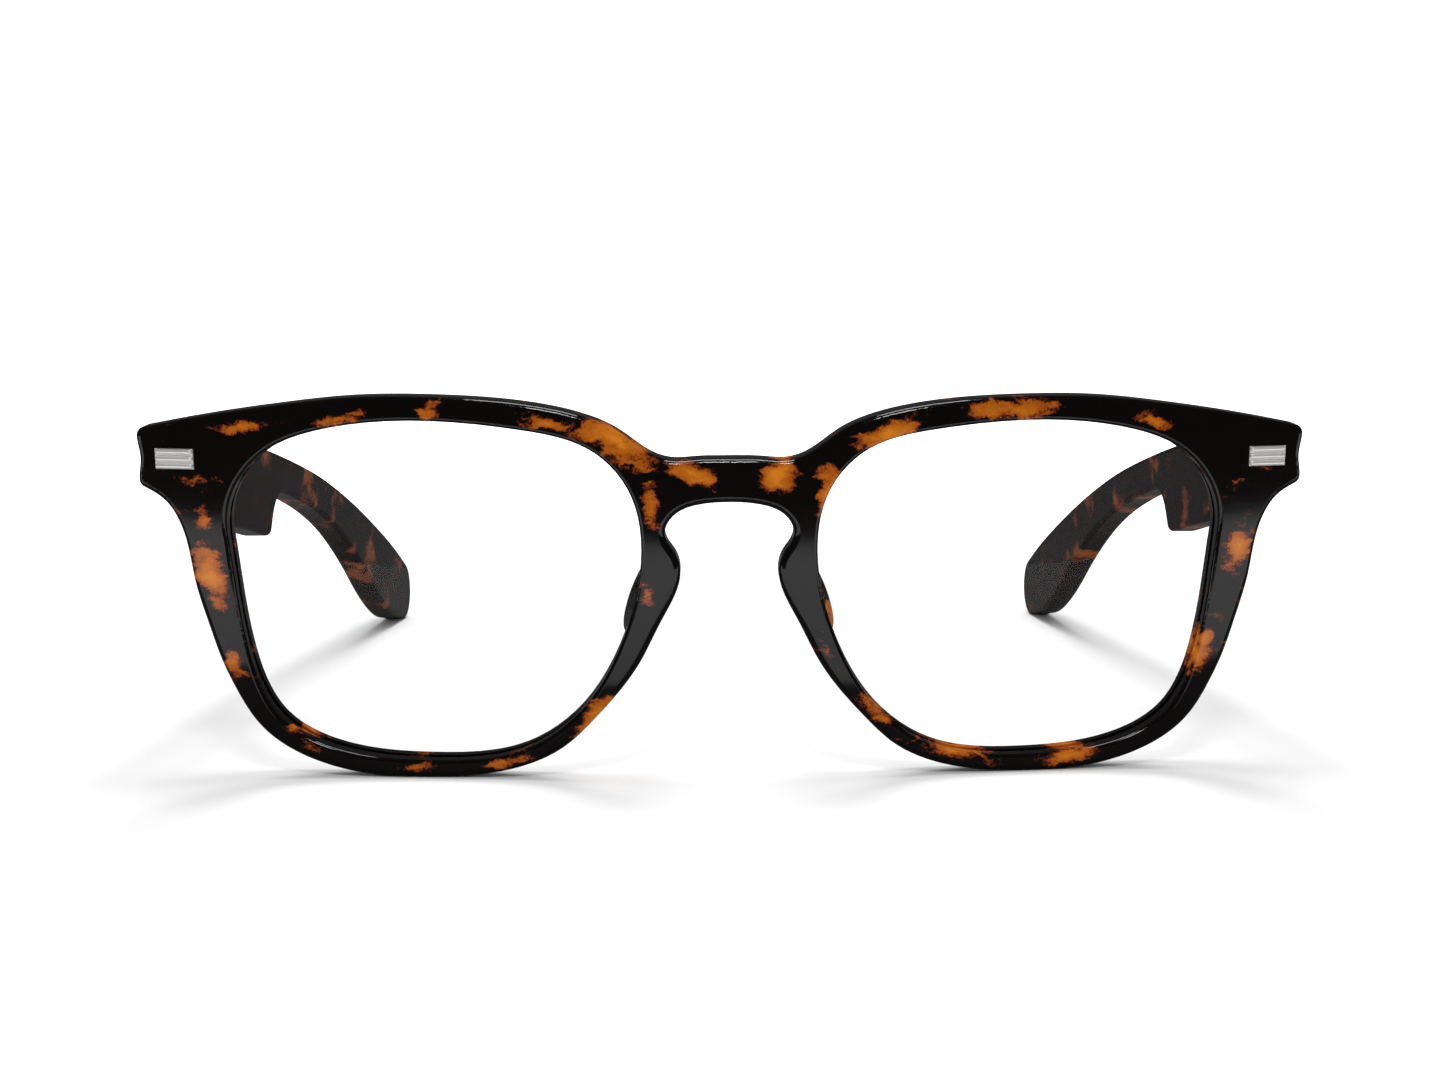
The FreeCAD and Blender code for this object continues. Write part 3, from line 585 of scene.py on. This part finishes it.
@dataclass
class Hinges(SubAssembly):
    """Leaves, screws and rivets of both hinges.

    Attributes:
        steel: finish of all hinge pieces.
    """

    steel: MetalFinish = field(default_factory=lambda: MetalFinish(
        name="hinge_metal", colour=(0.62, 0.61, 0.58), roughness=0.22))

    def build(self) -> None:
        """Paint the hinges' nodes."""
        steel = self.steel.make()
        for side in Side:
            for kind in ("hinge_front_leaf", "hinge_temple_leaf", "hinge_temple_rivets", "hinge_screw"):
                self.paint(f"{kind}_{side.value}", steel)


# ---------------------------------------------------------------- studio

@dataclass(frozen=True)
class Softbox:
    """One square soft light.

    Attributes:
        name: the light's name.
        place: where it hangs, in metres.
        target: the point it faces.
        size: length of its sides.
        power: its power in watts.
        glossy: whether it shows in reflections.
    """

    name: str
    place: Place
    target: Place
    size: float
    power: float
    glossy: bool = True

    def build(self) -> None:
        """Hang the light."""
        data = bpy.data.lights.new(self.name, "AREA")
        data.shape = "SQUARE"
        data.size = self.size
        data.energy = self.power
        lamp = bpy.data.objects.new(self.name, data)
        bpy.context.scene.collection.objects.link(lamp)
        lamp.location = self.place
        lamp.visible_glossy = self.glossy
        aim = Vector(self.target) - Vector(self.place)
        lamp.rotation_euler = aim.to_track_quat("-Z", "Y").to_euler()


@dataclass
class Studio:
    """White table, soft lights, bright room and the camera.

    Attributes:
        near: how far the table reaches towards the camera.
        far: how far it reaches to the back.
        wide: half its width.
        lights: the soft lights.
        eye: the camera's place.
        gaze: the direction it looks.
        lens: focal length in millimetres.
        shift: sideways shift of the picture.
        glow_from: distance from the origin where the table starts to glow, in metres.
        glow_full: distance where it glows as white as the room.
        mirror_from: place along Y behind which the table is dark in reflections.
        light: brightness of the room as a light.
        mirror: brightness of the room in reflections.
    """

    near: float = -0.168
    far: float = 3.0
    wide: float = 2.0
    lights: tuple[Softbox, ...] = (
        Softbox("top_light", (0.0, 0.02, 0.60), (0.0, -0.02, 0.0), 0.20, 1.1),
        Softbox("back_light", (0.0, 1.20, 1.30), (0.0, -0.03, 0.0), 0.80, 17.0, False),
        Softbox("front_light", (0.0, -0.50, 0.56), (0.0, -0.06, 0.03), 0.12, 1.1),
    )
    eye: Place = (-0.00305, -0.2829, 0.0521)
    gaze: Place = (0.0483, 0.9931, -0.1069)
    lens: float = 44.21
    shift: float = -0.0467
    glow_from: float = 0.12
    glow_full: float = 0.42
    mirror_from: float = -0.10
    light: float = 0.62
    mirror: float = 0.06

    def build(self) -> None:
        """Build the whole studio."""
        self.table()
        for light in self.lights:
            light.build()
        self.room()
        self.camera()
        bpy.context.scene.view_settings.view_transform = "Standard"

    def table(self) -> None:
        """Lay the white table."""
        bpy.ops.object.select_all(action="DESELECT")
        middle = (self.near + self.far) / 2
        bpy.ops.mesh.primitive_plane_add(size=1.0, location=(0.0, 0.0, 0.0))
        top = bpy.context.object
        top.name = "table_top"
        top.data.transform(Matrix.Diagonal((self.wide * 2, self.far - self.near, 1.0, 1.0)))
        top.data.transform(Matrix.Translation((0.0, middle, 0.0)))
        material, graph, shader = principled("table_white")
        shader.inputs["Roughness"].default_value = TABLE_ROUGHNESS
        shader.inputs["Specular IOR Level"].default_value = TABLE_SHEEN
        shader.inputs["Emission Strength"].default_value = 1.0
        place = graph.node("ShaderNodeTexCoord").outputs["Object"]
        depth = graph.node("ShaderNodeSeparateXYZ", {0: place}).outputs["Y"]
        away = graph.vector("LENGTH", place).outputs["Value"]
        fade = graph.node("ShaderNodeMapRange", {"Value": away, "From Min": self.glow_from,
                                                 "From Max": self.glow_full})
        path = graph.node("ShaderNodeLightPath")
        glossy = path.outputs["Is Glossy Ray"]
        mirrored = graph.math("SUBTRACT", glossy, path.outputs["Is Transmission Ray"])
        hidden = graph.math("MULTIPLY", mirrored, graph.math("GREATER_THAN", depth, self.mirror_from))
        shown = graph.math("SUBTRACT", 1.0, hidden)
        base = graph.mix(hidden, TABLE_WHITE, TABLE_DARK)
        glow = graph.mix(graph.math("MULTIPLY", fade.outputs[0], shown), BLACK, WHITE)
        graph.tree.links.new(base, shader.inputs["Base Color"])
        graph.tree.links.new(glow, shader.inputs["Emission Color"])
        top.data.materials.append(material)

    def room(self) -> None:
        """Make the room: white to the camera, soft for the light, dark in reflections."""
        world = bpy.data.worlds.new("room")
        world.use_nodes = True
        bpy.context.scene.world = world
        graph = Graph(world.node_tree)
        world.node_tree.nodes.clear()
        path = graph.node("ShaderNodeLightPath")
        seen = graph.math("MAXIMUM", path.outputs["Is Camera Ray"], path.outputs["Is Transmission Ray"])
        white, soft, dark = (
            graph.node("ShaderNodeBackground", {"Color": (*WHITE, 1.0), "Strength": strength})
            for strength in (1.0, self.light, self.mirror))
        lit = graph.node("ShaderNodeMixShader", {0: path.outputs["Is Glossy Ray"], 1: soft.outputs[0],
                                                 2: dark.outputs[0]})
        every = graph.node("ShaderNodeMixShader", {0: seen, 1: lit.outputs[0], 2: white.outputs[0]})
        graph.node("ShaderNodeOutputWorld", {"Surface": every.outputs[0]})

    def camera(self) -> None:
        """Place the camera."""
        data = bpy.data.cameras.new("camera")
        data.sensor_width = SENSOR_MM
        data.lens = self.lens
        data.shift_x = self.shift
        data.clip_start = NEAREST
        camera = bpy.data.objects.new("camera", data)
        bpy.context.scene.collection.objects.link(camera)
        camera.location = self.eye
        camera.rotation_euler = Vector(self.gaze).to_track_quat("-Z", "Y").to_euler()
        bpy.context.scene.camera = camera


def main() -> None:
    """Build every sub-assembly in order."""
    logging.basicConfig(level=logging.INFO)
    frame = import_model()
    cloud = Cloud().make()
    Front(frame["nodes"]).build(cloud)
    Temples(frame["nodes"]).build(cloud)
    Hinges(frame["nodes"]).build()
    Studio().build()


if __name__ == "__main__":
    main()
